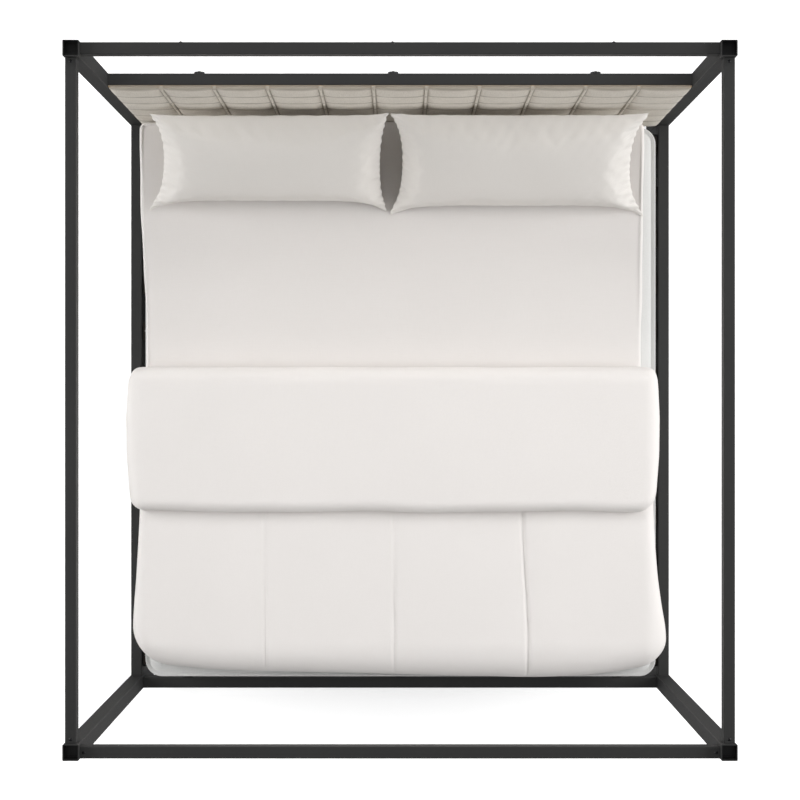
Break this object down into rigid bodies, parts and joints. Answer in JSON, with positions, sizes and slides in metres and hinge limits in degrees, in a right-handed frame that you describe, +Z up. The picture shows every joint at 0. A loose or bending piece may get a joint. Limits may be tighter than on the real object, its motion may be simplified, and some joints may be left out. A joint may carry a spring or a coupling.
{
  "type": "four poster canopy bed",
  "caption": "King size four poster bed: a square steel tube canopy frame on slats, a grid-stitched linen headboard, mattress, duvet and leaning pillows.",
  "frame": {"origin": "on the floor, midway between the four posts", "axes": "+Z up, +Y towards the head end, +X to the right seen from the foot"},
  "size_m": [2.0718, 2.2118, 1.98],
  "materials": {
    "frame_paint": "satin",
    "fastener_black": "satin",
    "zinc_steel": "satin",
    "black_plastic": "matte",
    "rubber": "matte",
    "slat_wood": "matte",
    "plywood": "matte",
    "foam": "matte",
    "linen": "matte",
    "black_cloth": "matte",
    "mattress_ticking": "matte",
    "topper_cotton": "matte",
    "duvet_cotton": "matte",
    "pillow_cotton": "matte"
  },
  "bodies": {
    "frame": {"beam_hangers": "frame_paint", "canopy_corner_screws": "fastener_black", "canopy_head_bolts": "fastener_black", "canopy_rail_foot": "frame_paint", "canopy_rail_head": "frame_paint", "canopy_rail_left": "frame_paint", "canopy_rail_right": "frame_paint", "canopy_sockets": "frame_paint", "centre_beam": "frame_paint", "centre_leg_1": "frame_paint", "centre_leg_2": "frame_paint", "centre_leg_3": "frame_paint", "foot_rail": "frame_paint", "head_rail": "frame_paint", "headboard_back_cloth": "black_cloth", "headboard_board": "plywood", "headboard_cover": "linen", "headboard_foam": "foam", "headboard_nuts": "zinc_steel", "headboard_rail": "frame_paint", "headboard_tab_bolts": "fastener_black", "headboard_tabs": "frame_paint", "leg_inserts": "black_plastic", "leg_screws": "fastener_black", "mattress_bumpers": "rubber", "post_foot_left": "frame_paint", "post_foot_pads": "black_plastic", "post_foot_right": "frame_paint", "post_head_left": "frame_paint", "post_head_right": "frame_paint", "post_top_plugs": "black_plastic", "rail_bolts": "fastener_black", "side_rail_left": "frame_paint", "side_rail_right": "frame_paint", "slat_01": "slat_wood", "slat_02": "slat_wood", "slat_03": "slat_wood", "slat_04": "slat_wood", "slat_05": "slat_wood", "slat_06": "slat_wood", "slat_07": "slat_wood", "slat_08": "slat_wood", "slat_09": "slat_wood", "slat_10": "slat_wood", "slat_11": "slat_wood", "slat_12": "slat_wood", "slat_ledges": "frame_paint", "slat_screws": "zinc_steel"},
    "bedding": {"mattress": "mattress_ticking", "topper": "topper_cotton", "duvet": "duvet_cotton"},
    "pillow_left": {"pillow_left": "pillow_cotton"},
    "pillow_right": {"pillow_right": "pillow_cotton"},
    "glide_1": {"leg_glide_1": "black_plastic"},
    "glide_2": {"leg_glide_2": "black_plastic"},
    "glide_3": {"leg_glide_3": "black_plastic"},
    "knob_1": {"headboard_knob_1": "black_plastic"},
    "knob_2": {"headboard_knob_2": "black_plastic"},
    "knob_3": {"headboard_knob_3": "black_plastic"}
  },
  "joints": [
    {"name": "mattress_lift", "type": "slide", "parent": "frame", "child": "bedding", "axis": [0, 0, 1], "range_m": [0, 0.35]},
    {"name": "pillow_left_lift", "type": "slide", "parent": "bedding", "child": "pillow_left", "axis": [0, 0, 1], "range_m": [0, 0.25]},
    {"name": "pillow_right_lift", "type": "slide", "parent": "bedding", "child": "pillow_right", "axis": [0, 0, 1], "range_m": [0, 0.25]},
    {"name": "glide_1_screw", "type": "slide", "parent": "frame", "child": "glide_1", "axis": [0, 0, 1], "range_m": [0, 0.012]},
    {"name": "glide_2_screw", "type": "slide", "parent": "frame", "child": "glide_2", "axis": [0, 0, 1], "range_m": [0, 0.012]},
    {"name": "glide_3_screw", "type": "slide", "parent": "frame", "child": "glide_3", "axis": [0, 0, 1], "range_m": [0, 0.012]},
    {"name": "knob_1_turn", "type": "hinge", "parent": "frame", "child": "knob_1", "pos_m": [-0.674, 1, 1.319], "axis": [0, 1, 0], "continuous": true},
    {"name": "knob_2_turn", "type": "hinge", "parent": "frame", "child": "knob_2", "pos_m": [-0.023, 1, 1.319], "axis": [0, 1, 0], "continuous": true},
    {"name": "knob_3_turn", "type": "hinge", "parent": "frame", "child": "knob_3", "pos_m": [0.657, 1, 1.319], "axis": [0, 1, 0], "continuous": true}
  ]
}
